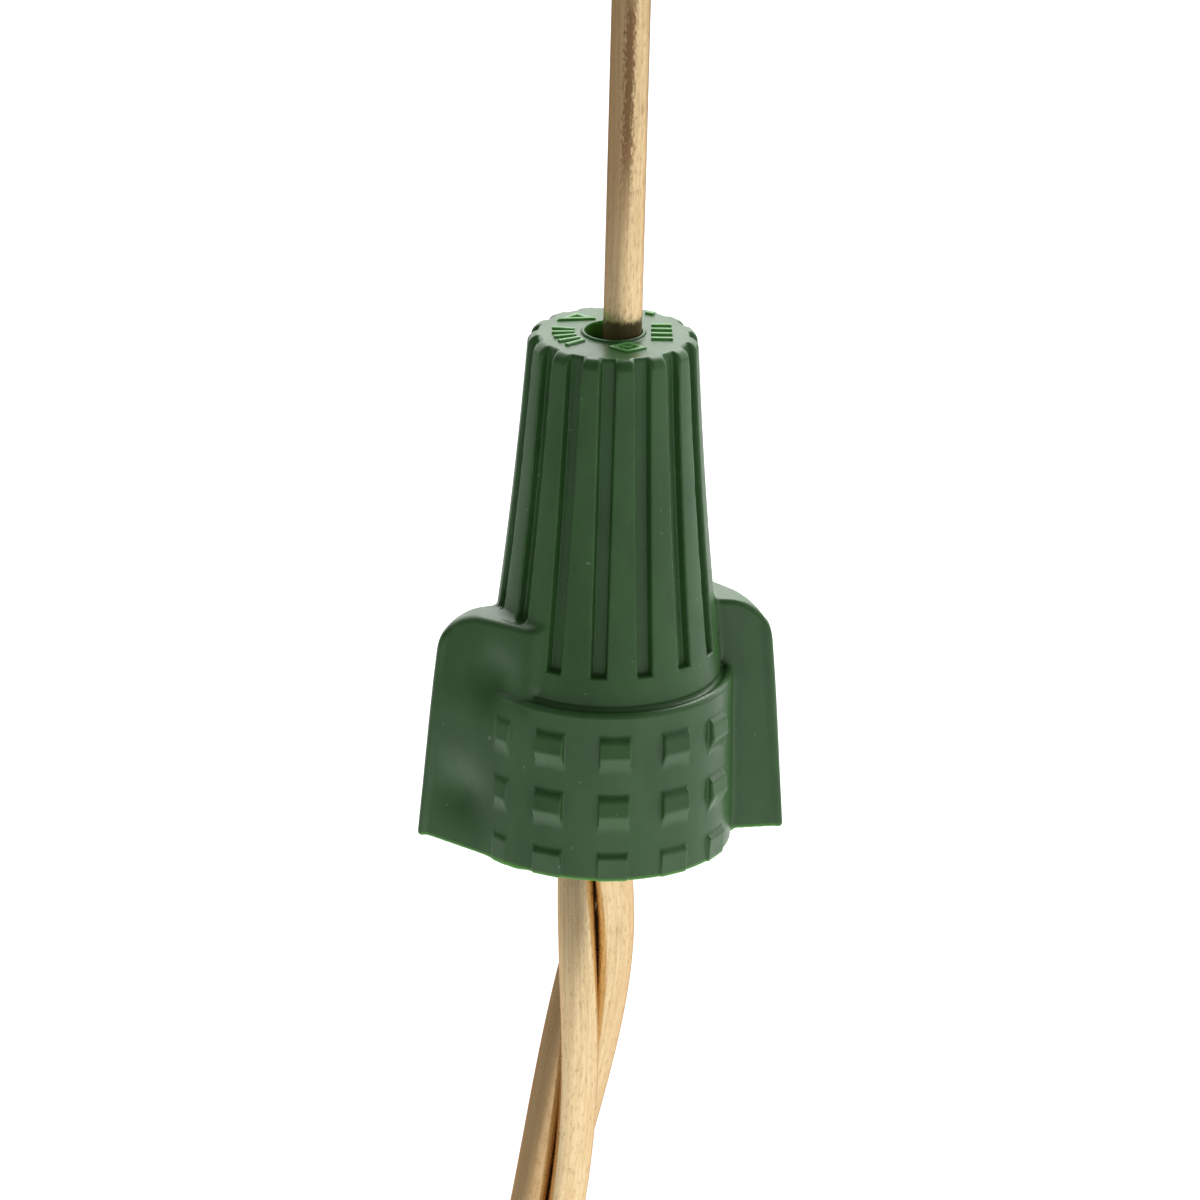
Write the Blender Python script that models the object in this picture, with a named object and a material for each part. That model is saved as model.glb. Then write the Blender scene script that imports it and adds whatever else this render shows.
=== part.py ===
"""Twist wire connector, screwed onto a bundle of three bare copper wires.

The plastic shell is one moulding: a ribbed cone with an open crown, a mouth skirt with gripping pads,
and two swept wings. A tapered square-wire spring inside the cone bites the wires. One of the three
wires runs on through the crown; the two branch wires end inside the spring.

Frame: the connector's axis is Z with the crown up, and the origin is the centre of the mouth plane.
"""
from math import cos, pi, radians, sin, sqrt, tau

import bmesh
import bpy
from mathutils import Matrix, Vector

MM = 0.001  # the dimensions below are in millimetres

# Shell, outside
HEIGHT = 28.45
SKIRT_FOOT_RADIUS = 6.98
SKIRT_TOP_RADIUS = 6.82
SKIRT_HEIGHT = 9.45
LIP_ROUND = 0.2
LEDGE_RISE = 0.25  # from the lip up to the band
BAND_RADIUS = 6.19  # outside of the plain band at the foot of the cone
CONE_FOOT = SKIRT_HEIGHT + LEDGE_RISE  # height where the cone starts to narrow
CONE_SLIM = 2.29  # how far the cone narrows up to the crown, less CONE_FLARE
CONE_FLARE = 0.59
CROWN_ROUND = 0.5
RIB_COUNT = 15
RIB_TURN = radians(-81.0)  # direction of the first rib, from +X
GROOVE_START = 11.2
GROOVE_RUNOUT = 0.1
GROOVE_WIDTH = 0.92
GROOVE_DEPTH = 0.45
GROOVE_FLOOR = 0.7  # the floor's share of the groove's width
CONE_RINGS = 6

# Crown hole and its raised rim
HOLE_RADIUS = 1.53
RIM_HEIGHT = 0.13
RIM_RADIUS = 1.68
RIM_FOOT_RADIUS = 1.8

# Shell, inside
MOUTH_RADIUS = 5.9
MOUTH_CHAMFER = 1.0  # how high the mouth's lead-in goes
CAVITY_FOOT_RADIUS = 5.6
CAVITY_TOP_RADIUS = 5.45
CAVITY_HEIGHT = 8.0
SEAT_HEIGHT = 9.0
CHAMBER_TOP = 26.2
CHAMBER_ROUND = 0.4

# Pads on the skirt
PAD_WIDTH = 1.65
HALF_PAD_WIDTH = 0.80  # what the wing's swept face leaves of a pad
PADS = (  # direction in degrees from +X, and width; repeated half round
    (-138.8, HALF_PAD_WIDTH),
    (-114.0, PAD_WIDTH),
    (-84.4, PAD_WIDTH),
    (-55.8, PAD_WIDTH),
    (-28.5, PAD_WIDTH),
)
PAD_TOPS = (8.18, 4.86, 1.53)
PAD_LEDGE = 0.24  # how far a pad stands out at the foot of its top slope
PAD_LEDGE_DROP = 0.2
PAD_FOOT = 0.08  # how far the lowest pads stand out at the mouth
PAD_RIDGE = 0.34
PAD_FACE = 1.12
PAD_CHAMFER = 0.72
PAD_ROOT = 0.6  # how deep a pad's back is sunk in the skirt

# Wings, stated for the wing at +X and turned half round for the other
WING_TOP = 13.15
WING_TOP_SLOPE = 0.09  # rise of the top edge towards the cone
WING_FOOT_REACH = 9.8
WING_DRAFT = 0.082  # how far the outer edge leans in for each unit of height
WING_CORNER = 2.25
WING_CORNER_TURN = radians(85.0)
WING_CORNER_STEPS = 6
WING_TIP = 0.22
WING_FLAT_X = 5.5
WING_FLAT_Y = 0.18  # the flat face's place at WING_FLAT_X
WING_FLAT_SLOPE = 0.20
WING_FLAT_DRAFT = 0.033  # how far the flat face leans in for each unit of height
WING_SWEEP_AZIMUTH = radians(51.7)
WING_SWEEP_FOOT = 6.86  # the swept face's distance from the axis
WING_SWEEP_TOP = 6.28
WING_SWEEP_BEND = 9.0  # height where the swept face starts to lean in
WING_ROOT_X = 4.2  # the flat face's inner end, inside the body
WING_ROOT_RADIUS = 5.83
WING_ROOT_AZIMUTH = radians(53.7)
WING_BACK = (2.8, 3.4)  # a corner of the section, hidden inside the body

# Spring
SPRING_SIDE = 0.75
SPRING_BOTTOM = 9.7
SPRING_TOP = 25.5
SPRING_TURNS = 11.5
SPRING_FOOT_MEAN = 4.08
SPRING_TOP_MEAN = 2.98
SPRING_CLEARANCE = 0.07
SPRING_STEPS = 24  # points on each turn

# Wires
WIRE_RADIUS = 1.025  # 12 AWG solid
STRAND_RADIUS = 1.215  # from the bundle's middle to each wire's middle
BUNDLE_X = 0.114  # the bundle's middle, from the axis, inside the connector
FRONT_ANGLE = radians(-191.5)  # direction of the through wire at the mouth plane
TWIST_RATE = radians(-10.0)  # turn of the bundle for each unit of height
TWIST_EASE = radians(-0.1576)  # below the mouth the twist opens with the height squared
LEAN_START = 4.0
LEAN_RATE = 0.00337
WIRE_TOP = 49.0
WIRE_BOTTOM = -25.0
BRANCH_TOP = 22.0
CROSSOVER_TOP = 26.0
THROUGH_OFFSET = 0.47  # the through wire's middle, from the axis, in the crown hole
WIRE_SIDES = 14
WIRE_STEP = 1.2

SEGMENTS = 48  # sides of the turned bore


def make_material(name, colour, roughness, metallic=0.0):
    material = bpy.data.materials.new(name)
    material.use_nodes = True
    shader = material.node_tree.nodes["Principled BSDF"]
    shader.inputs["Base Color"].default_value = (*colour, 1.0)
    shader.inputs["Roughness"].default_value = roughness
    shader.inputs["Metallic"].default_value = metallic
    return material


def make_object(name, mesh, material=None):
    piece = bpy.data.objects.new(name, mesh)
    bpy.context.scene.collection.objects.link(piece)
    if material:
        mesh.materials.append(material)
    return piece


def mesh_from_rings(name, rings):
    """A closed solid through rings of points in millimetres, counter-clockwise seen from the last ring."""
    bm = bmesh.new()
    loops = [[bm.verts.new(Vector(point) * MM) for point in ring] for ring in rings]
    for lower, upper in zip(loops, loops[1:]):
        for i in range(len(lower)):
            j = (i + 1) % len(lower)
            bm.faces.new((lower[i], lower[j], upper[j], upper[i]))
    bm.faces.new(reversed(loops[0]))
    bm.faces.new(loops[-1])
    mesh = bpy.data.meshes.new(name)
    bm.to_mesh(mesh)
    bm.free()
    return mesh


def merged(meshes):
    """One mesh with several separate closed bodies."""
    bm = bmesh.new()
    for mesh in meshes:
        bm.from_mesh(mesh)
    mesh = bpy.data.meshes.new("group")
    bm.to_mesh(mesh)
    bm.free()
    return mesh


def cut_or_join(piece, tool, operation):
    """Apply one exact Boolean and drop the tool."""
    modifier = piece.modifiers.new("shape", "BOOLEAN")
    modifier.operation = operation
    modifier.solver = "EXACT"
    modifier.object = tool
    graph = bpy.context.evaluated_depsgraph_get()
    shaped = bpy.data.meshes.new_from_object(piece.evaluated_get(graph))
    piece.modifiers.clear()
    piece.data = shaped
    bpy.data.objects.remove(tool)


def polar(radius, angle, height):
    return (radius * cos(angle), radius * sin(angle), height)


def turned(profile):
    """Rings of a turned solid, from (radius, height) pairs going up."""
    turns = [tau * i / SEGMENTS for i in range(SEGMENTS)]
    return [[polar(radius, turn, height) for turn in turns] for radius, height in profile]


def eased(part):
    """A smooth step from 0 to 1."""
    part = min(1.0, max(0.0, part))
    return part * part * (3.0 - 2.0 * part)


def cone_radius(height):
    rise = max(0.0, (height - CONE_FOOT) / (HEIGHT - CONE_FOOT))
    return BAND_RADIUS - CONE_SLIM * rise + CONE_FLARE * rise * rise


def ribbed_ring(radius, height, depth=0.0):
    """One ring round the body: the ribs' tops, and the grooves' floors sunk by depth."""
    pitch = tau / RIB_COUNT
    half_groove = min(0.5 * GROOVE_WIDTH / radius, 0.3 * pitch)
    ring = []
    for rib in range(RIB_COUNT):
        groove = RIB_TURN + (rib + 0.5) * pitch
        ring.append(polar(radius, groove - 0.5 * pitch, height))
        ring.append(polar(radius, groove - half_groove, height))
        ring.append(polar(radius - depth, groove - GROOVE_FLOOR * half_groove, height))
        ring.append(polar(radius - depth, groove + GROOVE_FLOOR * half_groove, height))
        ring.append(polar(radius, groove + half_groove, height))
    return ring


def body_blank():
    """Skirt, ledge, band, ribbed cone and the rim of the crown hole as one solid."""
    rings = [
        ribbed_ring(SKIRT_FOOT_RADIUS, 0.0),
        ribbed_ring(SKIRT_TOP_RADIUS, SKIRT_HEIGHT - LIP_ROUND),
        ribbed_ring(SKIRT_TOP_RADIUS - LIP_ROUND, SKIRT_HEIGHT),
        ribbed_ring(BAND_RADIUS, SKIRT_HEIGHT + LEDGE_RISE),
        ribbed_ring(cone_radius(GROOVE_START), GROOVE_START),
    ]
    start = GROOVE_START + GROOVE_RUNOUT
    shoulder = HEIGHT - CROWN_ROUND
    for step in range(CONE_RINGS + 1):
        height = start + (shoulder - start) * step / CONE_RINGS
        rings.append(ribbed_ring(cone_radius(height), height, GROOVE_DEPTH))
    for turn in (0.25 * pi, 0.5 * pi):
        radius = cone_radius(HEIGHT) - CROWN_ROUND * (1.0 - cos(turn))
        rings.append(ribbed_ring(radius, shoulder + CROWN_ROUND * sin(turn), GROOVE_DEPTH * cos(0.5 * turn)))
    rings.append(ribbed_ring(RIM_FOOT_RADIUS, HEIGHT))
    rings.append(ribbed_ring(RIM_RADIUS, HEIGHT + RIM_HEIGHT))
    return mesh_from_rings("shell", rings)


def wing_reach(height):
    """Outermost X of the wing at a height: a leaning edge with a rounded top corner."""
    corner_foot = WING_TOP - WING_CORNER
    if height <= corner_foot:
        return WING_FOOT_REACH - WING_DRAFT * height
    corner_x = WING_FOOT_REACH - WING_DRAFT * corner_foot - WING_CORNER
    return corner_x + sqrt(max(0.0, WING_CORNER ** 2 - (height - corner_foot) ** 2))


def sweep_distance(height):
    """How far the swept face's plane lies from the axis at a height."""
    lean = eased((height - WING_SWEEP_BEND) / (WING_TOP - WING_SWEEP_BEND))
    return WING_SWEEP_FOOT + (WING_SWEEP_TOP - WING_SWEEP_FOOT) * lean


def wing_ring(height):
    """The wing's section: flat face, tip, swept face, and a back that is hidden inside the body."""
    reach = wing_reach(height)
    distance = sweep_distance(height)
    shoulder = reach - WING_TIP
    corner_x = WING_FOOT_REACH - WING_CORNER

    def flat_y(x):
        return WING_FLAT_Y + WING_FLAT_SLOPE * (x - WING_FLAT_X) + WING_FLAT_DRAFT * height

    def swept_y(x):
        return (distance - cos(WING_SWEEP_AZIMUTH) * x) / sin(WING_SWEEP_AZIMUTH)

    tangent_x = distance * cos(WING_SWEEP_AZIMUTH)
    middle_x = 0.5 * (shoulder + tangent_x)
    tip_y = max(swept_y(shoulder), flat_y(shoulder) + WING_TIP)
    root_radius = min(WING_ROOT_RADIUS, distance - 0.5 * WING_TIP)
    outline = [
        (WING_ROOT_X, flat_y(WING_ROOT_X)),
        (shoulder, flat_y(shoulder)),
        (reach, 0.5 * (flat_y(shoulder) + tip_y)),
        (shoulder, tip_y),
        (middle_x, swept_y(middle_x)),
        (tangent_x, swept_y(tangent_x)),
        (root_radius * cos(WING_ROOT_AZIMUTH), root_radius * sin(WING_ROOT_AZIMUTH)),
        WING_BACK,
    ]
    slope = WING_TOP_SLOPE * height / WING_TOP
    return [(x, y, height + slope * (corner_x - x)) for x, y in outline]


def wing(turn):
    corner_foot = WING_TOP - WING_CORNER
    heights = [0.0, WING_SWEEP_BEND, 0.5 * (WING_SWEEP_BEND + corner_foot), corner_foot]
    for step in range(1, WING_CORNER_STEPS + 1):
        heights.append(corner_foot + WING_CORNER * sin(WING_CORNER_TURN * step / WING_CORNER_STEPS))
    mesh = mesh_from_rings("wing", [wing_ring(height) for height in heights])
    mesh.transform(Matrix.Rotation(turn, 4, "Z"))
    return mesh


def skirt_radius(height):
    return SKIRT_FOOT_RADIUS + (SKIRT_TOP_RADIUS - SKIRT_FOOT_RADIUS) * height / SKIRT_HEIGHT


def pad(angle, width, top):
    """One pad: a slope at the top, a face that leans out to a ridge, and a long chamfer back to the skirt.
    A pad that would reach below the mouth leans back to it with no ridge."""
    root = skirt_radius(top) - PAD_ROOT
    ridge_height = top - PAD_FACE
    bottom = ridge_height - PAD_CHAMFER
    if bottom < 0.0:
        outline = [(root, 0.0), (skirt_radius(0.0) + PAD_FOOT, 0.0)]
    else:
        ridge = skirt_radius(ridge_height) + PAD_RIDGE
        outline = [(root, bottom), (skirt_radius(bottom), bottom), (ridge, ridge_height)]
    outline += [(skirt_radius(top) + PAD_LEDGE, top - PAD_LEDGE_DROP), (skirt_radius(top), top), (root, top)]
    sides = [[(radius, side, height) for radius, height in outline] for side in (0.5 * width, -0.5 * width)]
    mesh = mesh_from_rings("pad", sides)
    mesh.transform(Matrix.Rotation(angle, 4, "Z"))
    return mesh


def bore_cutter():
    """The mouth cavity, the tapered spring chamber and the crown hole, as one turned cutter."""
    reach = 0.5 * sqrt(2.0) * SPRING_SIDE + SPRING_CLEARANCE
    seat = SPRING_FOOT_MEAN + reach
    top = SPRING_TOP_MEAN + reach
    profile = [
        (MOUTH_RADIUS, -MOUTH_CHAMFER),
        (MOUTH_RADIUS, 0.0),
        (CAVITY_FOOT_RADIUS, MOUTH_CHAMFER),
        (CAVITY_TOP_RADIUS, CAVITY_HEIGHT),
        (seat, SEAT_HEIGHT),
        (seat, SPRING_BOTTOM),
        (top, SPRING_TOP),
        (top, CHAMBER_TOP - CHAMBER_ROUND),
        (top - CHAMBER_ROUND, CHAMBER_TOP),
        (HOLE_RADIUS, CHAMBER_TOP),
        (HOLE_RADIUS, HEIGHT + MOUTH_CHAMFER),
    ]
    return mesh_from_rings("bore", turned(profile))


def make_shell():
    plastic = make_material("green_plastic", (0.055, 0.125, 0.05), 0.42)
    shell = make_object("shell", body_blank(), plastic)
    for turn in (0.0, pi):
        cut_or_join(shell, make_object("wing_tool", wing(turn)), "UNION")
    columns = [(radians(turn) + half, width) for half in (0.0, pi) for turn, width in PADS]
    pads = [pad(angle, width, top) for angle, width in columns for top in PAD_TOPS]
    cut_or_join(shell, make_object("pad_tool", merged(pads)), "UNION")
    cut_or_join(shell, make_object("bore_tool", bore_cutter()), "DIFFERENCE")


def make_spring():
    """A right-handed tapered coil of square wire standing on its edge."""
    steel = make_material("spring_steel", (0.55, 0.55, 0.53), 0.35, 1.0)
    half_diagonal = 0.5 * sqrt(2.0) * SPRING_SIDE
    low = SPRING_BOTTOM + half_diagonal
    high = SPRING_TOP - half_diagonal
    count = round(SPRING_TURNS * SPRING_STEPS)
    rings = []
    for step in range(count + 1):
        part = step / count
        angle = tau * SPRING_TURNS * part
        mean = SPRING_FOOT_MEAN + (SPRING_TOP_MEAN - SPRING_FOOT_MEAN) * part
        height = low + (high - low) * part
        rings.append([
            polar(mean + half_diagonal, angle, height),
            polar(mean, angle, height - half_diagonal),
            polar(mean - half_diagonal, angle, height),
            polar(mean, angle, height + half_diagonal),
        ])
    make_object("spring", mesh_from_rings("spring", rings), steel)


def strand_point(number, height):
    """The middle of one of the three twisted wires at a height."""
    ease = TWIST_EASE * min(0.0, height) ** 2
    angle = FRONT_ANGLE + TWIST_RATE * height + ease + number * tau / 3.0
    lean = LEAN_RATE * max(0.0, LEAN_START - height) ** 2
    return Vector((BUNDLE_X - lean + STRAND_RADIUS * cos(angle), STRAND_RADIUS * sin(angle), height))


def through_point(height):
    """The first strand, which crosses over to the crown hole above the branch wires' ends."""
    strand = strand_point(0, min(height, CROSSOVER_TOP))
    strand.z = height
    crown = Vector((THROUGH_OFFSET, 0.0, height))
    return strand.lerp(crown, eased((height - BRANCH_TOP) / (CROSSOVER_TOP - BRANCH_TOP)))


def make_wire(name, path, top, material):
    """A round wire along path(height), cut square to Z at both ends."""
    count = round((top - WIRE_BOTTOM) / WIRE_STEP)
    heights = [WIRE_BOTTOM + (top - WIRE_BOTTOM) * step / count for step in range(count + 1)]
    probe = 0.01
    rings = []
    for height in heights:
        middle = path(height)
        ahead = (path(height + probe) - path(height - probe)).normalized()
        side = Vector((0.0, 1.0, 0.0)).cross(ahead).normalized()
        back = ahead.cross(side)
        ring = []
        for corner in range(WIRE_SIDES):
            angle = tau * corner / WIRE_SIDES
            point = middle + (side * cos(angle) + back * sin(angle)) * WIRE_RADIUS
            if height in (heights[0], heights[-1]):
                point += ahead * ((height - point.z) / ahead.z)
            ring.append(point)
        rings.append(ring)
    make_object(name, mesh_from_rings(name, rings), material)


def make_wires():
    copper = make_material("bare_copper", (0.78, 0.52, 0.30), 0.32, 1.0)
    make_wire("through_wire", through_point, WIRE_TOP, copper)
    for number in (1, 2):
        make_wire(f"branch_wire_{number}", lambda height: strand_point(number, height), BRANCH_TOP, copper)


for old in list(bpy.data.objects):
    bpy.data.objects.remove(old, do_unlink=True)

make_shell()
make_spring()
make_wires()
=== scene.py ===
"""Looks of the twist wire connector: shell, crown marks, spring, three copper wires, studio and camera.

Lengths in the shape functions are millimetres, in the part's own frame. Blender gets metres.
"""

from math import cos, pi, radians, sin, sqrt, tau

import bmesh
import bpy
import numpy as np
from mathutils import Matrix, Vector


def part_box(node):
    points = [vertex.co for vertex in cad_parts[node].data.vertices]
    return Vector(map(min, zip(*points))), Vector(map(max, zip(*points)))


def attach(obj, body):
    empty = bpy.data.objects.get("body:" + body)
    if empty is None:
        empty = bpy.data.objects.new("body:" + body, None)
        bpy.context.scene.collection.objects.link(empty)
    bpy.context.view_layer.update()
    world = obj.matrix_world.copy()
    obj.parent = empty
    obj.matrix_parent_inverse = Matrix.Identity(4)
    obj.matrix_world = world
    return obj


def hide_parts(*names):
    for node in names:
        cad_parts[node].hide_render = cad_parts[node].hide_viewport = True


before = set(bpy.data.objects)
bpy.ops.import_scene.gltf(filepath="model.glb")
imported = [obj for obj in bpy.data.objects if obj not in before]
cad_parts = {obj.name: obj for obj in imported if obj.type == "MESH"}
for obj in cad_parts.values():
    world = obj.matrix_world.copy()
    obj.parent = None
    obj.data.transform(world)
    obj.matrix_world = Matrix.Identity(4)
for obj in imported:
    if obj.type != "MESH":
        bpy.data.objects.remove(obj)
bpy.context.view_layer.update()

MM = 0.001
CELL = 0.10  # grid that the shell's surface is drawn from

shell_low, shell_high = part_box("shell")
wire_low, wire_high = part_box("through_wire")
spring_low, spring_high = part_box("spring")
branch_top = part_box("branch_wire_1")[1].z / MM

# Shell, outside
CAD_RIM_HEIGHT = 0.13  # the raised ring round the crown hole, in the CAD
HEIGHT = shell_high.z / MM - CAD_RIM_HEIGHT
SKIRT_FOOT = 6.98  # radii
SKIRT_TOP = 6.82
SKIRT_HEIGHT = 9.45
SKIRT_SHOULDER = 0.20
SKIRT_LIP = 0.14
LEDGE_RISE = 0.16
LEDGE_SCALE = 0.92  # keeps the sloped ledge's field close to a true distance
SHADOW_LINE = (6.33, 9.60, 0.16)  # radius, height and size of the small undercut at the band's foot
SHADOW_SOFT = 0.08
BAND_RADIUS = 6.19
CONE_FOOT = 9.7
CONE_SLIM = 2.29
CONE_FLARE = 0.59
CROWN_ROUND = 0.58
CROWN_SOFT = 1.6  # depth below the crown over which the ribs' edges soften
RIB_EDGE = 0.09
RIB_EDGE_AT_CROWN = 0.23
RIB_COUNT = 15
RIB_TURN = radians(-81.0)
GROOVE_START = 11.2
GROOVE_RUNOUT = 0.08
GROOVE_HALF = 0.44
GROOVE_WALL = 0.10  # how much narrower the groove's floor is, on each side
GROOVE_DEPTH = 0.46
GROOVE_SOFT = 0.10
HOLE_RADIUS = 1.53
RIM_RADIUS = 1.68
RIM_INSIDE = 1.3
RIM_HEIGHT = 0.16
RIM_FOOT = 0.5  # how far the rim's ring reaches into the crown
CREASE = 0.06  # width of the rounding in the shell's sharpest corners

# Shell, inside: (height, radius) of the bore, going up
BORE = (
    (-1.0, 5.95), (0.0, 5.9), (1.0, 5.6), (8.0, 5.45), (9.0, 4.68), (9.7, 4.68), (25.5, 3.58), (26.2, 3.58),
)

# Pads: (degrees, half width) of each column, and the top of each row
PADS = ((-138.8, 0.38), (-114.0, 0.825), (-84.4, 0.825), (-55.8, 0.825), (-28.5, 0.825))
PAD_TOPS = (8.18, 4.86, 1.53)
PAD_LEDGE = 0.20
PAD_LEDGE_DROP = 0.15
PAD_RIDGE = 0.34
PAD_FACE = 1.12
PAD_CHAMFER = 0.72
PAD_FOOT = 0.08  # how far the lowest pads stand out at the mouth
PAD_SOFT = 0.10
PAD_LEDGE_SOFT = 0.12
PAD_DEPTH = 0.8  # how far the pads reach into the skirt
FAR = 9.0  # stands for a distance where no pad is near

# Crown marks
MARK_HEIGHT = 0.12
MARK_WIDTH = 0.27

# Wings, stated for the wing at +X
WING_REACH = shell_high.x / MM + 0.09
WING_DRAFT = 0.082
WING_TOP = 13.15
WING_TOP_SLOPE = 0.09
WING_CORNER = 2.25
WING_TIP = 0.24
WING_TIP_BLEND = 0.35
WING_OUTLINE_SOFT = 0.32
WING_FOOT_CORNER = 0.35
WING_FOOT_SOFT = 0.12
WING_FLAT_FROM = 5.5
WING_FLAT = (0.18, 0.20, 0.033)  # Y at X WING_FLAT_FROM, and its slopes with X and with height
WING_SWEEP = radians(51.7)
WING_SWEEP_FOOT = 6.91  # distances of the swept face from the axis
WING_SWEEP_TOP = 6.28
WING_SWEEP_BEND = 8.3  # height where the swept face starts to lean back
WING_BEND_SOFT = 0.8
WING_ROOT = -0.35  # where the wing starts, along the swept face from its tangent
WING_ROOT_SOFT = 0.9
WING_INSIDE = 2.0
WING_BLEND = 0.40  # width of the blend between the wings and the body, and what is left of it at the ledge
WING_BLEND_AT_LEDGE = 0.09
WING_BLEND_LEDGE = (0.1, 0.5)  # height above the skirt, and reach up and down
DENTS = ((2.1, 10.2), (4.2, 3.2))  # soft dents in the swept face: along it from the tangent, and height
DENT_DEPTH = 0.42
DENT_SPREAD = 1.6

# Spring
SPRING_SIDE = 0.75
SPRING_CORNER = 0.12
SPRING_TURNS = 11.5
SPRING_FOOT = 4.08  # mean radii of the coil
SPRING_TOP = 2.98

# Wires
WIRE_RADIUS = 1.025
STRAND_RADIUS = 1.215
BUNDLE_X = 0.114
FRONT_ANGLE = radians(-191.5)
TWIST_RATE = radians(-10.0)
TWIST_EASE = radians(-0.1576)
LEAN_START = 4.0
LEAN_RATE = 0.00337
CROSSOVER_TOP = 26.0
THROUGH_OFFSET = 0.47

# Camera and studio
CAMERA_DISTANCE = 0.45
CAMERA_TARGET = Vector((0.0, 0.0, 0.0145))
CAMERA_ELEVATION = radians(21.88)
CAMERA_ROLL = 0.0259
CAMERA_OFFSET = (-0.372 * MM, -1.109 * MM)  # right and up in the picture
CAMERA_LENS = 253.8
FLOOR_HEIGHT = -0.12
FLOOR_BRIGHT_SPOT = (0.22, -0.05, 0.0)
FLOOR_GLOW = (0.58, 0.33, 0.16, 0.90)  # distances from that spot, and the glow at each
ROOM_BACK_GLOW = (0.10, 0.80, 0.16, 2.2)  # how far towards +Y, and the glow at each
ROOM_RIGHT_GLOW = (0.30, 0.95, 0.0, 0.55)  # the same towards +X, added to it
BACK_LIGHT = ((0.12, 0.40, 0.48), (0.50, 0.35), 2.4)  # place, size and power
BACKDROP_WHITE = 1.05

# Colours
PLASTIC_DARK = (0.036, 0.115, 0.026)
PLASTIC_LIGHT = (0.048, 0.142, 0.036)
# Painted glow: a brighter green painted where light would come through thin plastic, at the mouth's rim and
# in the crown hole
PLASTIC_PAINTED_GLOW = (0.10, 0.36, 0.035)  # where light comes through thin plastic
PLASTIC_SPECK = (0.22, 0.32, 0.22)
COPPER_DEEP = (0.74, 0.54, 0.29)
COPPER_BRIGHT = (0.87, 0.68, 0.40)
COPPER_SPECKLE = (0.42, 0.27, 0.12)
COPPER_PATCH = (0.42, 0.28, 0.14)
# Brown mixed into the copper: painted shade on the second branch wire, and a browner upper part of the
# through wire
COPPER_BROWN = (0.42, 0.23, 0.09)
COPPER_STREAK = (0.16, 0.08, 0.035)
# Painted shade: dark brown painted on the through wire inside the shell and just above the crown hole
COPPER_HOLE_SHADE = (0.115, 0.068, 0.036)
COPPER_EDGE = (0.68, 0.54, 0.46, 1.0)
STEEL_BRIGHT = (0.58, 0.58, 0.56)
STEEL_DULL = (0.38, 0.38, 0.37)

# Marks on the through wire, as heights and places round it
# Where the painted shade at the crown hole ends at the top and starts at the foot
HOLE_SHADE_TOP = (29.5, 29.2)
HOLE_SHADE_FOOT = (2.0, 4.0)
STREAK_FOOT = (33.0, 40.0)
STREAK_TOP = (49.0, 46.0)
STREAK_SIDE = 4.83
STREAK_WIDTH = (0.42, 0.10)
DULL_FOOT = (30.0, 38.0)
DULL_SIDE = (5.2, 4.2)


# ---------------------------------------------------------------- distance fields

def smooth_max(a, b, k):
    """The larger of a and b, with the crease between them rounded over a width of k."""
    mix = np.clip(0.5 + 0.5 * (a - b) / k, 0.0, 1.0)
    return b + (a - b) * mix + k * mix * (1.0 - mix)


def smooth_min(a, b, k):
    """The smaller of a and b, rounded the same way."""
    return -smooth_max(-a, -b, k)


def rounded_both(a, b, radius):
    """Where both a and b are negative, with an outer edge of that radius."""
    a = a + radius
    b = b + radius
    return np.minimum(np.maximum(a, b), 0.0) + np.hypot(np.maximum(a, 0.0), np.maximum(b, 0.0)) - radius


def eased(part):
    """A smooth step from 0 to 1."""
    part = np.clip(part, 0.0, 1.0)
    return part * part * (3.0 - 2.0 * part)


def cone_radius(z):
    """Radius over the ribs: the band, then a cone whose sides curve in slightly."""
    rise = np.maximum(0.0, (z - CONE_FOOT) / (HEIGHT - CONE_FOOT))
    return BAND_RADIUS - CONE_SLIM * rise + CONE_FLARE * rise * rise


def skirt_radius(z):
    return SKIRT_FOOT + (SKIRT_TOP - SKIRT_FOOT) * z / SKIRT_HEIGHT


def cone_distance(x, y, z, r):
    """The ribbed cone: ribs are what the grooves leave standing."""
    wall = r - cone_radius(z)
    solid = rounded_both(wall, z - HEIGHT, CROWN_ROUND)
    pitch = tau / RIB_COUNT
    turn = np.mod(np.arctan2(y, x) - RIB_TURN, pitch) - 0.5 * pitch
    side = np.abs(r * np.sin(turn))
    depth = -wall
    walls = side - GROOVE_HALF + depth * GROOVE_WALL / GROOVE_DEPTH
    end = GROOVE_START + depth * GROOVE_RUNOUT / GROOVE_DEPTH - z
    groove = smooth_max(smooth_max(walls, depth - GROOVE_DEPTH, GROOVE_SOFT), end, GROOVE_SOFT)
    edge = RIB_EDGE + (RIB_EDGE_AT_CROWN - RIB_EDGE) * eased((z - HEIGHT + CROWN_SOFT) / CROWN_SOFT)
    return smooth_max(solid, -groove, edge)


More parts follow.
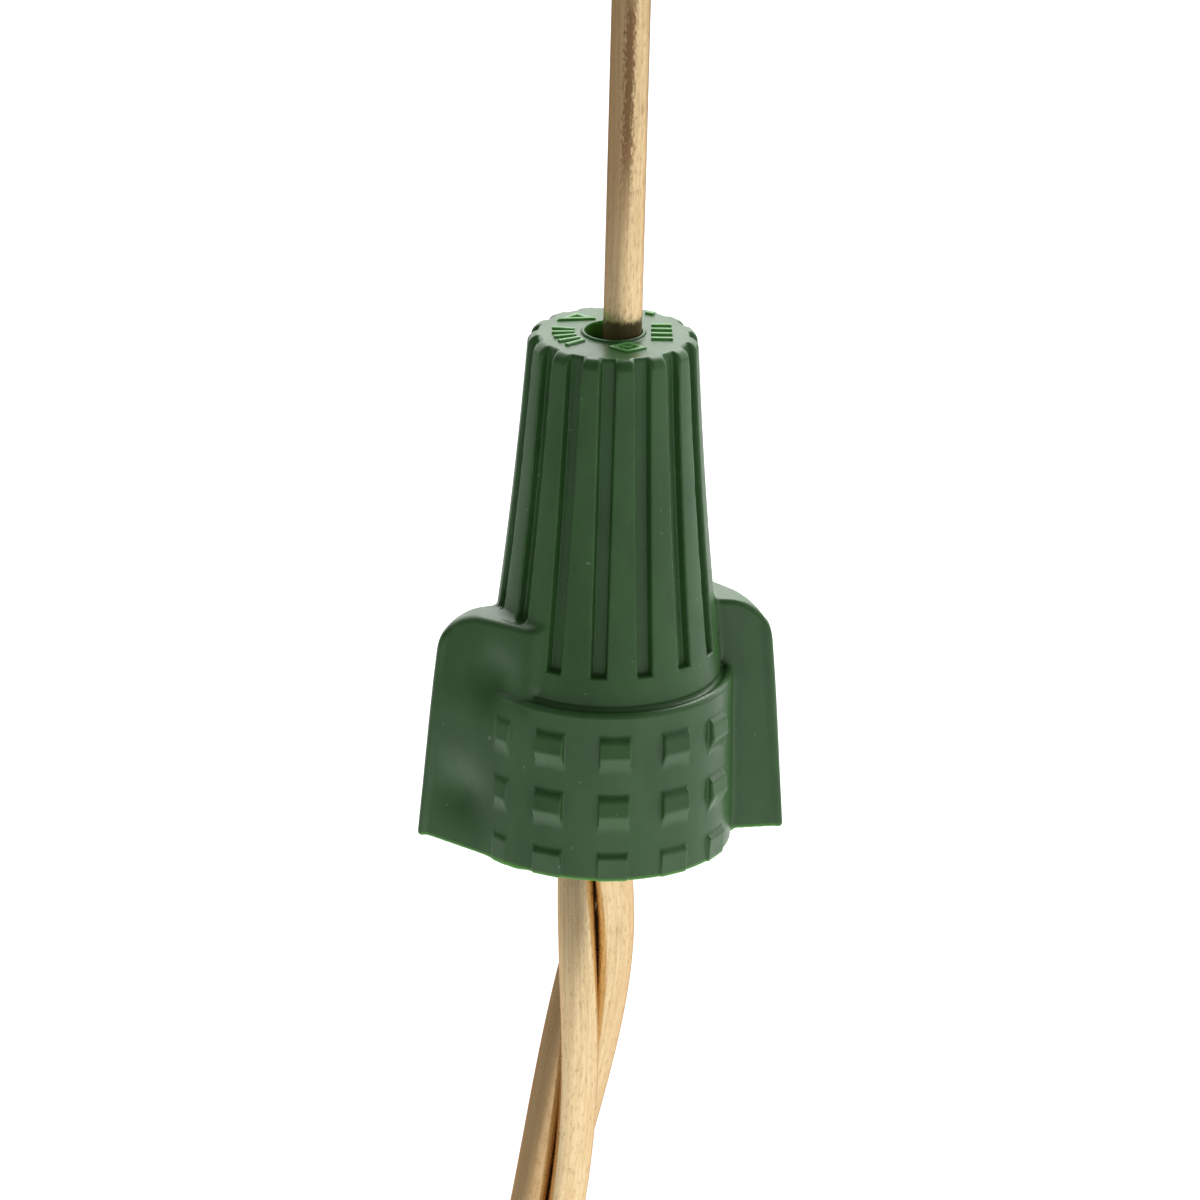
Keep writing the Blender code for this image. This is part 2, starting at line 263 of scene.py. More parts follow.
def pads_distance(x, y, z, r):
    """All the pads: each has a ledge, a face that leans out to a ridge, and a chamfer back to the skirt."""
    found = np.full(x.shape, FAR)
    near = (z < PAD_TOPS[0] + 1.0) & (r > SKIRT_TOP - 1.5)
    if not near.any():
        return found
    px, py, pz = x[near], y[near], z[near]
    best = np.full(px.shape, FAR)
    skirt = skirt_radius(pz)
    for turn, half_width in [(radians(t) + half, width) for half in (0.0, pi) for t, width in PADS]:
        out = px * cos(turn) + py * sin(turn) - skirt
        side = np.abs(-px * sin(turn) + py * cos(turn)) - half_width
        for top in PAD_TOPS:
            ridge = top - PAD_FACE
            whole = ridge - PAD_CHAMFER > 0.0
            lean = (PAD_RIDGE - PAD_LEDGE) / PAD_FACE if whole else (PAD_FOOT - PAD_LEDGE) / top
            face = out - (PAD_LEDGE + (top - pz) * lean)
            if whole:
                slope = PAD_RIDGE / PAD_CHAMFER
                chamfer = (out - PAD_RIDGE + (ridge - pz) * slope) / sqrt(1.0 + slope * slope)
                face = smooth_max(face, chamfer, CREASE)
            ledge = (pz - top) * PAD_LEDGE + out * PAD_LEDGE_DROP
            pad = smooth_max(face, ledge / sqrt(PAD_LEDGE ** 2 + PAD_LEDGE_DROP ** 2), PAD_LEDGE_SOFT)
            pad = smooth_max(pad, side, PAD_SOFT)
            pad = np.maximum(pad, -out - PAD_DEPTH)
            pad = np.where(px * cos(turn) + py * sin(turn) > 0.0, pad, FAR)
            best = np.minimum(best, pad)
    found[near] = best
    return found


def sweep_distance(z):
    """How far the swept face stands from the axis: it leans back above the bend."""
    lean = (WING_SWEEP_TOP - WING_SWEEP_FOOT) / (WING_TOP - WING_SWEEP_BEND)
    return WING_SWEEP_FOOT + lean * smooth_max(z - WING_SWEEP_BEND, 0.0, WING_BEND_SOFT)


def wing_distance(x, y, z):
    """The wing at +X: a flat face, a swept face, a rounded tip between them and a round-cornered outline."""
    start, slope, draft = WING_FLAT
    reach = WING_REACH - WING_DRAFT * z
    corner_x = WING_REACH - WING_DRAFT * (WING_TOP - WING_CORNER) - WING_CORNER

    def flat_y(at):
        return start + slope * (at - WING_FLAT_FROM) + draft * z

    flat = (flat_y(x) - y) / sqrt(1.0 + slope * slope)
    along = x * sin(WING_SWEEP) - y * cos(WING_SWEEP)
    swept = x * cos(WING_SWEEP) + y * sin(WING_SWEEP) - sweep_distance(z)
    for dent_along, dent_height in DENTS:
        spread = ((along - dent_along) ** 2 + (z - dent_height) ** 2) / DENT_SPREAD ** 2
        swept = swept + DENT_DEPTH * np.exp(-spread)
    wedge = smooth_max(flat, swept, CREASE)
    tip = np.hypot(x - reach + WING_TIP, y - flat_y(reach - WING_TIP) - WING_TIP) - WING_TIP
    body = smooth_min(wedge, tip, WING_TIP_BLEND)
    body = smooth_max(body, WING_ROOT - along, WING_ROOT_SOFT)
    body = np.maximum(body, WING_INSIDE - x)
    outline = rounded_both(x - reach, z - WING_TOP - WING_TOP_SLOPE * (corner_x - x), WING_CORNER)
    body = smooth_max(body, outline, WING_OUTLINE_SOFT)
    body = np.maximum(body, rounded_both(x - reach, -z, WING_FOOT_CORNER))
    return smooth_max(body, -z, WING_FOOT_SOFT)


def bore_distance(z, r):
    """The empty space inside: the mouth, the cavity, the spring's chamber and the crown hole."""
    heights, radii = zip(*BORE)
    chamber = np.maximum(r - np.interp(z, heights, radii), z - heights[-1])
    return np.minimum(chamber, r - HOLE_RADIUS)


def shell_distance(x, y, z):
    """Signed distance to the shell's surface, near enough for drawing it: negative inside the plastic."""
    r = np.hypot(x, y)
    ledge = (z - SKIRT_HEIGHT + (r - SKIRT_TOP) * LEDGE_RISE / (SKIRT_TOP - BAND_RADIUS)) * LEDGE_SCALE
    skirt = rounded_both(r - skirt_radius(z), ledge, SKIRT_SHOULDER)
    skirt = smooth_min(skirt, pads_distance(x, y, z, r), PAD_SOFT)
    skirt = smooth_max(skirt, -z, SKIRT_LIP)
    body = smooth_min(skirt, cone_distance(x, y, z, r), CREASE)
    line_radius, line_height, line_size = SHADOW_LINE
    body = smooth_max(body, line_size - np.hypot(r - line_radius, z - line_height), SHADOW_SOFT)
    ledge_above, ledge_reach = WING_BLEND_LEDGE
    at_ledge = np.exp(-((z - SKIRT_HEIGHT - ledge_above) / ledge_reach) ** 2)
    blend = WING_BLEND - (WING_BLEND - WING_BLEND_AT_LEDGE) * at_ledge
    for sign in (1.0, -1.0):
        body = smooth_min(body, wing_distance(sign * x, sign * y, z), blend)
    from_middle = np.abs(r - 0.5 * (RIM_RADIUS + RIM_INSIDE))
    rim = rounded_both(from_middle - 0.5 * (RIM_RADIUS - RIM_INSIDE), z - HEIGHT - RIM_HEIGHT, CREASE)
    rim = np.maximum(rim, HEIGHT - RIM_FOOT - z)
    body = smooth_min(body, rim, CREASE)
    return smooth_max(body, -bore_distance(z, r), CREASE)


# ---------------------------------------------------------------- meshes

def grid_values(distance, axes, cell):
    """The distance at each grid point: from every second point, then worked out again near the surface."""
    coarse = []
    for height in axes[2][::2]:
        coarse.append(distance(*np.meshgrid(axes[0][::2], axes[1][::2], [height], indexing="ij")))
    values = np.concatenate(coarse, 2).astype(np.float32)
    for axis in range(3):
        values = values.repeat(2, axis)
    values = values[:len(axes[0]), :len(axes[1]), :len(axes[2])]
    near = np.abs(values) < 3.0 * cell
    i, j, k = np.nonzero(near)
    values[near] = distance(axes[0][i], axes[1][j], axes[2][k])
    return values


def net_quads(inside, index):
    """One quad round each grid edge that the surface crosses, facing out."""
    quads = []
    for axis in range(3):
        order = [axis, (axis + 1) % 3, (axis + 2) % 3]
        turned = inside.transpose(order)
        cells = index.transpose(order)
        crossed = turned[:-1, 1:-1, 1:-1] != turned[1:, 1:-1, 1:-1]
        i, j, k = np.nonzero(crossed)
        quad = np.stack([cells[i, j, k], cells[i, j + 1, k], cells[i, j + 1, k + 1], cells[i, j, k + 1]], 1)
        inner = ~turned[i, j + 1, k + 1]
        quad[inner] = quad[inner][:, ::-1]
        quads.append(quad)
    return np.concatenate(quads)


def gradient(distance, points):
    """Slope of the field at each point, which is the surface's normal there."""
    step = 0.01
    slopes = []
    for axis in range(3):
        ahead, behind = points.copy(), points.copy()
        ahead[:, axis] += step
        behind[:, axis] -= step
        slopes.append((distance(*ahead.T) - distance(*behind.T)) / (2.0 * step))
    return np.stack(slopes, 1)


def surface_net(distance, low, high, cell):
    """Vertices on the surface where distance is zero, and the quads between them."""
    axes = [np.arange(a - 1.5 * cell, b + 2.5 * cell, cell) for a, b in zip(low, high)]
    values = grid_values(distance, axes, cell)
    inside = values < 0.0
    count = np.zeros([n - 1 for n in values.shape], np.int8)
    corners = [(i, j, k) for i in (0, 1) for j in (0, 1) for k in (0, 1)]
    for i, j, k in corners:
        count += inside[i:count.shape[0] + i, j:count.shape[1] + j, k:count.shape[2] + k]
    active = (count > 0) & (count < 8)
    index = np.full(count.shape, -1, np.int64)
    index[active] = np.arange(active.sum())
    place = np.stack(np.nonzero(active), 1)
    at = [values[place[:, 0] + i, place[:, 1] + j, place[:, 2] + k].astype(float) for i, j, k in corners]
    total = np.zeros((len(place), 3))
    crossings = np.zeros(len(place))
    for a in range(8):
        for b in range(a + 1, 8):
            if np.abs(np.subtract(corners[a], corners[b])).sum() != 1:
                continue
            hit = (at[a] < 0.0) != (at[b] < 0.0)
            share = np.where(hit, at[a] / np.where(hit, at[a] - at[b], 1.0), 0.0)
            point = np.array(corners[a]) + share[:, None] * np.subtract(corners[b], corners[a])
            total += np.where(hit[:, None], point, 0.0)
            crossings += hit
    points = (place + total / crossings[:, None]) * cell + np.array([axis[0] for axis in axes])
    for _ in range(2):
        slope = gradient(distance, points)
        steepness = np.maximum((slope * slope).sum(1), 0.2)
        step = slope * (distance(*points.T) / steepness)[:, None]
        points -= np.clip(step, -0.5 * cell, 0.5 * cell)
    return points, net_quads(inside, index)


def add_piece(name, mesh, material, body):
    """An object of that mesh, riding on a body, with its material and slot."""
    piece = bpy.data.objects.new(name, mesh)
    bpy.context.scene.collection.objects.link(piece)
    mesh.materials.append(material)
    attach(piece, body)
    return piece


def ring_mesh(name, rings, uv_width=0.0, uv_lengths=()):
    """A closed tube through rings of points in millimetres. UVs run round it and along it, in millimetres."""
    sides = len(rings[0])
    points = np.array(rings, float).reshape(-1, 3) * MM
    faces = []
    for level in range(len(rings) - 1):
        for i in range(sides):
            j = (i + 1) % sides
            here, above = level * sides, (level + 1) * sides
            faces.append((here + i, here + j, above + j, above + i))
    faces.append(tuple(reversed(range(sides))))
    faces.append(tuple(range((len(rings) - 1) * sides, len(rings) * sides)))
    mesh = bpy.data.meshes.new(name)
    mesh.from_pydata(points.tolist(), [], faces)
    if uv_width:
        layer = mesh.uv_layers.new(name="along")
        for face in mesh.polygons[:-2]:
            level, side = divmod(face.index, sides)
            for corner, (du, dv) in zip(face.loop_indices, ((0, 0), (1, 0), (1, 1), (0, 1))):
                layer.data[corner].uv = ((side + du) / sides * uv_width, uv_lengths[level + dv])
    mesh.shade_smooth()
    mesh.set_sharp_from_angle(angle=radians(50.0))
    return mesh


# ---------------------------------------------------------------- materials

class Graph:
    """A node tree, with short calls for the nodes used here."""

    def __init__(self, owner):
        owner.use_nodes = True
        self.owner = owner
        self.tree = owner.node_tree
        self.shader = self.tree.nodes.get("Principled BSDF")

    def node(self, kind, **values):
        node = self.tree.nodes.new(kind)
        for key, value in values.items():
            if key in node.inputs:
                node.inputs[key].default_value = value
            else:
                setattr(node, key, value)
        return node

    def feed(self, socket, value):
        """Link an output to a socket, or set the socket to a plain value."""
        if isinstance(value, bpy.types.NodeSocket):
            self.tree.links.new(value, socket)
        elif isinstance(value, tuple) and socket.type == "RGBA":
            socket.default_value = (*value, 1.0)
        else:
            socket.default_value = value

    def place(self, output):
        return self.node("ShaderNodeTexCoord").outputs[output]

    def split(self, vector):
        node = self.node("ShaderNodeSeparateXYZ")
        self.feed(node.inputs["Vector"], vector)
        return node.outputs

    def stretch(self, vector, scale):
        node = self.node("ShaderNodeMapping", Scale=scale)
        self.feed(node.inputs["Vector"], vector)
        return node.outputs["Vector"]

    def noise(self, vector, scale, detail=3.0, roughness=0.55):
        node = self.node("ShaderNodeTexNoise", Scale=scale, Detail=detail, Roughness=roughness)
        self.feed(node.inputs["Vector"], vector)
        return node.outputs["Fac"]

    def ramp(self, value, low, high, to_low=0.0, to_high=1.0):
        """A smooth step of value from low to high. Low can be above high."""
        node = self.node("ShaderNodeMapRange", interpolation_type="SMOOTHSTEP")
        if low > high:
            low, high, to_low, to_high = high, low, to_high, to_low
        for name, number in (("From Min", low), ("From Max", high), ("To Min", to_low), ("To Max", to_high)):
            node.inputs[name].default_value = number
        self.feed(node.inputs["Value"], value)
        return node.outputs["Result"]

    def math(self, operation, *values):
        node = self.node("ShaderNodeMath", operation=operation)
        for socket, value in zip(node.inputs, values):
            self.feed(socket, value)
        return node.outputs["Value"]

    def mix(self, factor, first, second):
        node = self.node("ShaderNodeMix", data_type="RGBA")
        self.feed(node.inputs[0], factor)
        self.feed(node.inputs[6], first)
        self.feed(node.inputs[7], second)
        return node.outputs[2]

    def distance(self, vector, middle):
        node = self.node("ShaderNodeVectorMath", operation="DISTANCE")
        self.feed(node.inputs[0], vector)
        node.inputs[1].default_value = middle
        return node.outputs["Value"]

    def bump(self, height, strength, distance):
        node = self.node("ShaderNodeBump", Strength=strength, Distance=distance)
        self.feed(node.inputs["Height"], height)
        self.feed(self.shader.inputs["Normal"], node.outputs["Normal"])


def plastic_material(name, painted_brightness=1.0):
    """Moulded green plastic: flow mottling, fine texture, pale specks, and a painted glow in brighter green
    at the mouth's rim and up the crown hole's wall, where thin plastic would let light through.
    """
    g = Graph(bpy.data.materials.new(name))
    place = g.place("Object")
    height = g.split(place)["Z"]
    flow = g.ramp(g.noise(g.stretch(place, (1.0, 1.0, 0.45)), 420.0, 4.0), 0.33, 0.67)
    # Both greens are scaled by the given factor; above 1 it paints the material brighter, a painted glow
    dark = tuple(painted_brightness * part for part in PLASTIC_DARK)
    light = tuple(painted_brightness * part for part in PLASTIC_LIGHT)
    colour = g.mix(flow, dark, light)
    # Painted glow: the bottom 0.3 mm of the mouth's rim is painted bright green, for light coming through the
    # thin edge
    colour = g.mix(g.ramp(height, 0.30 * MM, 0.02 * MM), colour, PLASTIC_PAINTED_GLOW)
    # Painted glow: the crown hole's wall is painted brighter green towards the top, for light coming through
    # from the crown
    from_axis = g.distance(g.stretch(place, (1.0, 1.0, 0.0)), (0.0, 0.0, 0.0))
    in_hole = g.ramp(from_axis, 1.62 * MM, 1.5 * MM)
    painted_hole_glow = g.math("MULTIPLY", g.ramp(height, 26.6 * MM, 28.4 * MM), in_hole)
    colour = g.mix(g.math("MULTIPLY", painted_hole_glow, 0.55), colour, PLASTIC_PAINTED_GLOW)
    specks = g.ramp(g.noise(place, 2600.0, 1.0), 0.765, 0.80, 0.0, 0.55)
    colour = g.mix(specks, colour, PLASTIC_SPECK)
    g.feed(g.shader.inputs["Base Color"], colour)
    g.feed(g.shader.inputs["Roughness"], g.ramp(g.noise(place, 800.0), 0.3, 0.7, 0.30, 0.40))
    g.shader.inputs["IOR"].default_value = 1.5
    g.shader.inputs["Subsurface Weight"].default_value = 0.15
    g.shader.inputs["Subsurface Radius"].default_value = (0.3, 1.0, 0.25)
    g.shader.inputs["Subsurface Scale"].default_value = 0.9 * MM
    grain = g.math("ADD", g.noise(place, 5200.0, 3.0), g.noise(place, 1500.0, 2.0))
    g.bump(grain, 0.10, 0.02 * MM)
    return g.owner


def copper_material(name, warm):
    """Drawn bare copper: draw lines along the wire, speckles, and brown patches, more if warm is larger."""
    g = Graph(bpy.data.materials.new(name))
    along = g.node("ShaderNodeUVMap", uv_map="along").outputs["UV"]
    lines = g.noise(g.stretch(along, (6.0, 0.16, 1.0)), 1.0, 4.0, 0.6)
    speckle = g.noise(g.stretch(along, (7.0, 1.5, 1.0)), 1.0, 4.0, 0.7)
    patches = g.noise(g.stretch(along, (0.7, 0.16, 1.0)), 1.0, 3.0)
    colour = g.mix(g.ramp(lines, 0.35, 0.65), COPPER_DEEP, COPPER_BRIGHT)
    colour = g.mix(g.ramp(speckle, 0.52, 0.70, 0.0, 0.6), colour, COPPER_SPECKLE)
    colour = g.mix(g.ramp(patches, 0.55 - warm, 0.80 - warm, 0.0, 0.6), colour, COPPER_PATCH)
    return g, along, colour, lines, speckle


def finish_copper(g, colour, lines, speckle):
    """The colour, with the shine and the fine relief of drawn wire."""
    g.feed(g.shader.inputs["Base Color"], colour)
    g.shader.inputs["Metallic"].default_value = 0.95
    g.shader.inputs["Specular Tint"].default_value = COPPER_EDGE
    g.feed(g.shader.inputs["Roughness"], g.ramp(speckle, 0.3, 0.7, 0.16, 0.32))
    g.bump(g.math("ADD", lines, g.math("MULTIPLY", speckle, 0.35)), 0.3, 0.02 * MM)
    return g.owner


def branch_copper(name, warm, browning):
    """The copper of a branch wire, mixed with that share of brown."""
    g, _, colour, lines, speckle = copper_material(name, warm)
    colour = g.mix(browning, colour, COPPER_BROWN)
    return finish_copper(g, colour, lines, speckle)


def through_copper():
    """The same copper, with painted shade from inside the shell up to just above the crown hole, less
    metallic there, and a brown streak above it.
    """
    g, along, colour, lines, speckle = copper_material("copper_through", 0.0)
    height = g.split(g.place("Object"))["Z"]
    round_wire = g.split(along)["X"]

    def by_height(limits, value=height):
        return g.ramp(value, limits[0] * MM, limits[1] * MM)

    def wandering(value, noise, reach):
        return g.math("ADD", value, g.math("MULTIPLY", g.math("SUBTRACT", noise, 0.5), reach))

    # Painted shade on the through wire from inside the shell to just above the crown hole, with a ragged top,
    # and less metallic there
    ragged = wandering(height, speckle, 0.9 * MM)
    painted_hole_shade = g.math("MULTIPLY", by_height(HOLE_SHADE_TOP, ragged), by_height(HOLE_SHADE_FOOT))
    mottle = g.noise(g.stretch(along, (9.0, 3.0, 1.0)), 1.0, 3.0)
    from_streak = g.math("ABSOLUTE", g.math("SUBTRACT", round_wire, STREAK_SIDE))
    mottled = g.ramp(wandering(from_streak, mottle, 0.9), *STREAK_WIDTH)
    streak = g.math("MULTIPLY", mottled, by_height(STREAK_FOOT))
    streak = g.math("MULTIPLY", streak, by_height(STREAK_TOP))
    colour = g.mix(g.math("MULTIPLY", streak, 0.9), colour, COPPER_STREAK)
    dull = g.math("MULTIPLY", by_height(DULL_FOOT), g.ramp(round_wire, *DULL_SIDE, 0.12, 0.50))
    colour = g.mix(dull, colour, COPPER_BROWN)
    colour = g.mix(g.math("MULTIPLY", painted_hole_shade, 0.93), colour, COPPER_HOLE_SHADE)
    finish_copper(g, colour, lines, speckle)
    g.feed(g.shader.inputs["Metallic"], g.math("SUBTRACT", 0.95, g.math("MULTIPLY", painted_hole_shade, 0.75)))
    return g.owner


def steel_material():
    """Zinc-washed spring wire, unevenly dull."""
    g = Graph(bpy.data.materials.new("spring_steel"))
    place = g.place("Object")
    colour = g.mix(g.ramp(g.noise(place, 500.0, 4.0), 0.35, 0.7), STEEL_BRIGHT, STEEL_DULL)
    g.feed(g.shader.inputs["Base Color"], colour)
    g.feed(g.shader.inputs["Roughness"], g.ramp(g.noise(place, 3000.0), 0.3, 0.7, 0.25, 0.42))
    g.shader.inputs["Metallic"].default_value = 1.0
    g.bump(g.noise(place, 6000.0), 0.15, 0.02 * MM)
    return g.owner


# ---------------------------------------------------------------- shell

def make_shell(material):
    """The whole moulding as one closed mesh, drawn from its distance field with that field's normals."""
    low = np.array(shell_low) / MM
    high = np.array(shell_high) / MM
    points, quads = surface_net(shell_distance, low, high, CELL)
    mesh = bpy.data.meshes.new("moulded_shell")
    mesh.from_pydata((points * MM).tolist(), [], quads.tolist())
    mesh.shade_smooth()
    slopes = gradient(shell_distance, points)
    slopes /= np.maximum(np.linalg.norm(slopes, axis=1), 1e-6)[:, None]
    mesh.normals_split_custom_set_from_vertices(slopes.tolist())
    piece = add_piece("moulded_shell", mesh, material, "shell")
    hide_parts("shell")


def spoke(angle, start, end):
    """A stroke on the crown that points at its middle."""
    turn = radians(angle)
    return [(start * cos(turn), start * sin(turn)), (end * cos(turn), end * sin(turn))]


# Plain raised strokes, each a list of points in millimetres on the crown
CROWN_MARKS = (
    ("mark_bars", [[(1.98, y), (3.10 - 0.04 * y, y + 0.03)] for y in (-0.85, -0.15, 0.55, 1.20)]),
    ("mark_spokes", [spoke(angle, 2.05, 3.25) for angle in (173.0, 185.0, 197.0, 209.0, 221.0)]),
    ("mark_lozenge", [
        [(-0.02, -2.32), (0.76, -1.72), (1.54, -2.32), (0.76, -2.92), (-0.02, -2.32)],
        [(0.50, -2.32), (1.02, -2.32)],
    ]),
    ("mark_triangle", [[(-2.70, 1.74), (-1.98, 2.52), (-1.26, 2.02), (-2.70, 1.74)]]),
    ("mark_dash", [[(1.70, 3.12), (2.12, 2.92)]]),
)


def stroke(bm, points):
    """A raised stroke with rounded shoulders along points on the crown."""
    closed = points[0] == points[-1]
    corners = [Vector(point) for point in (points[:-1] if closed else points)]
    section = ((-0.5, -0.8), (-0.5, 0.5), (-0.30, 1.0), (0.30, 1.0), (0.5, 0.5), (0.5, -0.8))
    count = len(corners)
    rings = []
    for i, corner in enumerate(corners):
        before = corners[i - 1] if closed or i > 0 else corner
        after = corners[(i + 1) % count] if closed or i < count - 1 else corner
        ahead = ((after - corner).normalized() + (corner - before).normalized()).normalized()
        side = Vector((ahead.y, -ahead.x))
        spread = 1.0 / max(0.4, (after - corner).normalized().dot(ahead)) if closed else 1.0
        ring = []
        for across, up in section:
            spot = corner + side * across * MARK_WIDTH * spread
            ring.append(bm.verts.new((spot.x * MM, spot.y * MM, (HEIGHT + MARK_HEIGHT * up) * MM)))
        rings.append(ring)
    pairs = list(zip(rings, rings[1:])) + ([(rings[-1], rings[0])] if closed else [])
    for near, far in pairs:
        for i in range(len(section)):
            j = (i + 1) % len(section)
            bm.faces.new((near[i], near[j], far[j], far[i]))
    if not closed:
        bm.faces.new(reversed(rings[0]))
        bm.faces.new(rings[-1])


def make_marks(material):
    for name, strokes in CROWN_MARKS:
        bm = bmesh.new()
        for points in strokes:
            stroke(bm, points)
        bmesh.ops.recalc_face_normals(bm, faces=bm.faces)
        mesh = bpy.data.meshes.new(name)
        bm.to_mesh(mesh)
        bm.free()
        mesh.shade_smooth()
        mesh.set_sharp_from_angle(angle=radians(60.0))
        add_piece(name, mesh, material, "shell")


# ---------------------------------------------------------------- wires and spring

def strand_point(number, z):
    """Middle of one of the three twisted wires at height z. The lay tightens and the bundle leans below."""
    ease = TWIST_EASE * min(0.0, z) ** 2
    angle = FRONT_ANGLE + TWIST_RATE * z + ease + number * tau / 3.0
    lean = LEAN_RATE * max(0.0, LEAN_START - z) ** 2
    return np.array((BUNDLE_X - lean + STRAND_RADIUS * cos(angle), STRAND_RADIUS * sin(angle), z))


def through_point(z):
    """Middle of the through wire: the first strand, which crosses over to the crown hole above the others."""
    strand = strand_point(0, min(z, CROSSOVER_TOP))
    strand[2] = z
    part = float(eased((z - branch_top) / (CROSSOVER_TOP - branch_top)))
    return strand + (np.array((THROUGH_OFFSET, 0.0, z)) - strand) * part


def make_wire(node, path, top, material):
    """A round wire along path(z), with the edges of its ends broken as shears leave them."""
    sides = 40
    bottom = wire_low.z / MM
    count = round((top - bottom) / 0.3)
    heights = [bottom + (top - bottom) * step / count for step in range(count + 1)]
    rings, lengths = [], []
    length = 0.0
    previous = path(heights[0])
    for level, z in enumerate(heights):
        middle = path(z)
        length += float(np.linalg.norm(middle - previous))
        previous = middle
        ahead = path(z + 0.01) - path(z - 0.01)
        ahead /= np.linalg.norm(ahead)
        side = np.cross((0.0, 1.0, 0.0), ahead)
        side /= np.linalg.norm(side)
        back = np.cross(ahead, side)
        at_end = level in (0, count)
        radius = WIRE_RADIUS - (0.08 if at_end else 0.0)
        ring = []
        for corner in range(sides):
            angle = tau * corner / sides
            point = middle + (side * cos(angle) + back * sin(angle)) * radius
            if at_end:
                point = point + ahead * ((z - point[2]) / ahead[2])
            ring.append(point)
        rings.append(ring)
        lengths.append(length)
    mesh = ring_mesh(f"drawn_{node}", rings, tau * WIRE_RADIUS, lengths)
    piece = add_piece(f"drawn_{node}", mesh, material, "wires")
    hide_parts(node)


def make_spring(material):
    """Right-handed tapered coil of square wire on its edge, with rounded corners."""
    half = 0.5 * sqrt(2.0) * SPRING_SIDE
    reach = half - SPRING_CORNER * sqrt(2.0)
    low = spring_low.z / MM + half
    high = spring_high.z / MM - half
    steps = round(SPRING_TURNS * 60)
    rings = []
    for step in range(steps + 1):
        part = step / steps
        angle = tau * SPRING_TURNS * part
        mean = SPRING_FOOT + (SPRING_TOP - SPRING_FOOT) * part
        z = low + (high - low) * part
        ring = []
        for quarter in range(4):
            base = 0.5 * pi * quarter
            for turn in (-0.25 * pi, 0.0, 0.25 * pi):
                out = reach * cos(base) + SPRING_CORNER * cos(base + turn)
                up = reach * sin(base) + SPRING_CORNER * sin(base + turn)
                ring.append(((mean + out) * cos(angle), (mean + out) * sin(angle), z - up))
        rings.append(ring)
    mesh = ring_mesh("square_wire_spring", rings)
    piece = add_piece("square_wire_spring", mesh, material, "spring_carrier")
    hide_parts("spring")


# ---------------------------------------------------------------- studio

def make_camera():
    """A long lens in front of the part and above it, rolled a little."""
    sight = Vector((0.0, cos(CAMERA_ELEVATION), -sin(CAMERA_ELEVATION)))
    level = Vector((1.0, 0.0, 0.0))
    lift = Vector((0.0, sin(CAMERA_ELEVATION), cos(CAMERA_ELEVATION)))
    right = level * cos(CAMERA_ROLL) + lift * sin(CAMERA_ROLL)
    up = lift * cos(CAMERA_ROLL) - level * sin(CAMERA_ROLL)
    data = bpy.data.cameras.new("camera")
    data.lens = CAMERA_LENS
    data.clip_start = 0.01
    camera = bpy.data.objects.new("camera", data)
    bpy.context.scene.collection.objects.link(camera)
    place = CAMERA_TARGET - sight * CAMERA_DISTANCE + right * CAMERA_OFFSET[0] + up * CAMERA_OFFSET[1]
    turn = Matrix((right, up, -sight)).transposed()
    camera.matrix_world = Matrix.Translation(place) @ turn.to_4x4()
    bpy.context.scene.camera = camera


def make_light(name, place, size, power):
    data = bpy.data.lights.new(name, "AREA")
    data.shape = "RECTANGLE"
    data.size, data.size_y = size
    data.energy = power
    light = bpy.data.objects.new(name, data)
    bpy.context.scene.collection.objects.link(light)
    light.location = place
    light.rotation_euler = (CAMERA_TARGET - Vector(place)).to_track_quat("-Z", "Y").to_euler()


def white_to_camera(g, glow):
    """Emission strength that is plain white where it is the backdrop, and glow where it lights the part."""
    seen = g.node("ShaderNodeLightPath").outputs["Is Camera Ray"]
    node = g.node("ShaderNodeMix", data_type="FLOAT")
    g.feed(node.inputs[0], seen)
    g.feed(node.inputs[2], glow)
    node.inputs[3].default_value = BACKDROP_WHITE
    return node.outputs[0]


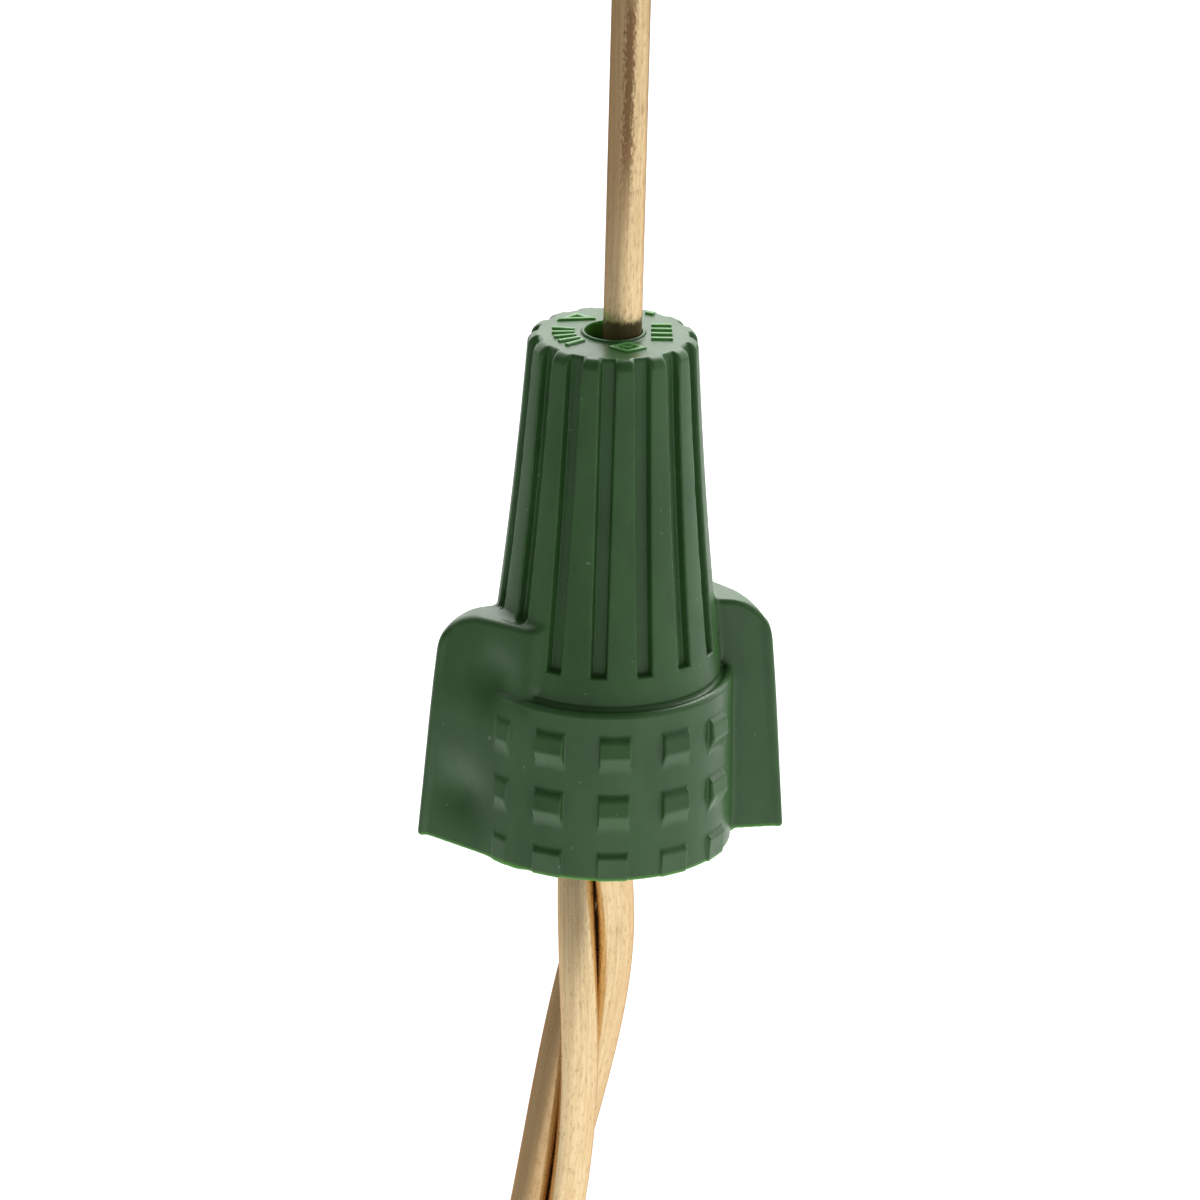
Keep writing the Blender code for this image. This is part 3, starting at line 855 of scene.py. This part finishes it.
def make_studio():
    """A bright sweep behind and below, a bright right side, and a dark room behind the camera."""
    bm = bmesh.new()
    bmesh.ops.create_grid(bm, x_segments=2, y_segments=2, size=4.0)
    mesh = bpy.data.meshes.new("floor")
    bm.to_mesh(mesh)
    bm.free()
    floor = bpy.data.objects.new("floor", mesh)
    floor.location.z = FLOOR_HEIGHT
    bpy.context.scene.collection.objects.link(floor)
    g = Graph(bpy.data.materials.new("pale_floor"))
    g.shader.inputs["Base Color"].default_value = (0.3, 0.3, 0.3, 1.0)
    g.shader.inputs["Roughness"].default_value = 0.9
    g.shader.inputs["Specular IOR Level"].default_value = 0.0
    g.shader.inputs["Emission Color"].default_value = (1.0, 1.0, 1.0, 1.0)
    away = g.distance(g.place("Object"), FLOOR_BRIGHT_SPOT)
    g.feed(g.shader.inputs["Emission Strength"], white_to_camera(g, g.ramp(away, *FLOOR_GLOW)))
    mesh.materials.append(g.owner)

    world = bpy.data.worlds.new("studio")
    bpy.context.scene.world = world
    g = Graph(world)
    axes = g.split(g.place("Generated"))
    glow = g.math("ADD", g.ramp(axes["Y"], *ROOM_BACK_GLOW), g.ramp(axes["X"], *ROOM_RIGHT_GLOW))
    g.feed(g.tree.nodes["Background"].inputs["Strength"], white_to_camera(g, glow))
    g.tree.nodes["Background"].inputs["Color"].default_value = (1.0, 1.0, 1.0, 1.0)
    make_light("back_light", *BACK_LIGHT)
    bpy.context.scene.view_settings.view_transform = "Standard"


make_shell(plastic_material("green_plastic"))
# The crown marks get greens 2.6 times brighter: painted glow, for light coming through the small raised marks
make_marks(plastic_material("green_marks_painted_glow", 2.6))
make_wire("through_wire", through_point, wire_high.z / MM, through_copper())
copper_1 = branch_copper("copper_branch_1", 0.0, 0.1)
# The second branch wire is mixed 55% brown: painted shade, a darker copy of the copper standing in for the
# dark reflection along it
copper_2_shaded = branch_copper("copper_branch_2_painted_shade", 0.08, 0.55)
make_wire("branch_wire_1", lambda z: strand_point(1, z), branch_top, copper_1)
make_wire("branch_wire_2", lambda z: strand_point(2, z), branch_top, copper_2_shaded)
make_spring(steel_material())
make_studio()
make_camera()
